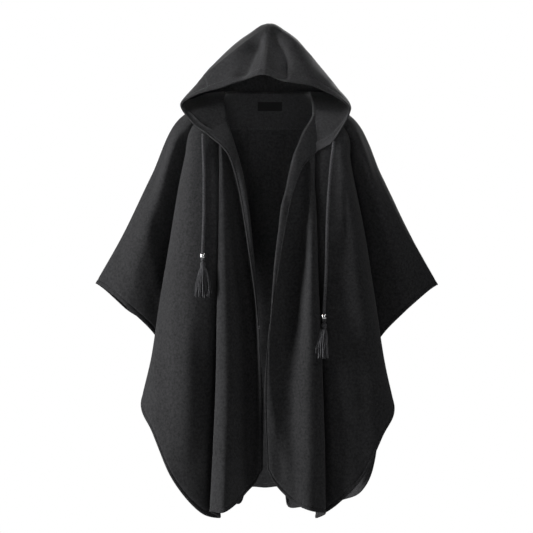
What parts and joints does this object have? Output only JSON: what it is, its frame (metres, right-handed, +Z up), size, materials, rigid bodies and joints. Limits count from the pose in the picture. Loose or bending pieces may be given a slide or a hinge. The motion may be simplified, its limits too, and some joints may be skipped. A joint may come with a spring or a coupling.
{
  "type": "hooded poncho",
  "caption": "Open-fronted hooded poncho of wool melton, hanging as when worn, with rolled lapels, deep soft folds, pointed open sleeves, and drawcords with beads and yarn tassels.",
  "frame": {"origin": "the middle of the neck opening, level with the neck seam at the shoulders, where the wearer's neck and shoulders carry the garment", "axes": "+Z up along the body length, the front faces -Y, and +X is the wearer's left"},
  "size_m": [0.809, 0.4, 1.1617],
  "materials": {
    "wool_melton": "felted, matt, with a soft nap",
    "facing_cloth": "plain weave, matt",
    "label_cloth": "woven tape, matt, blank",
    "cord_yarn": "braided, soft sheen",
    "tassel_yarn": "loose yarn",
    "bead_metal": "polished"
  },
  "bodies": {
    "root": {"front_right": "wool_melton", "front_left": "wool_melton", "back_panel": "wool_melton", "hood_right": "wool_melton", "hood_left": "wool_melton", "back_neck_facing": "facing_cloth", "hood_casing_right": "facing_cloth", "hood_casing_left": "facing_cloth", "neck_label": "label_cloth", "drawcord_right": "cord_yarn", "drawcord_left": "cord_yarn", "knot_right": "cord_yarn", "knot_left": "cord_yarn", "tassel_right": "tassel_yarn", "tassel_left": "tassel_yarn", "bead_right": "bead_metal", "bead_left": "bead_metal"}
  },
  "joints": []
}
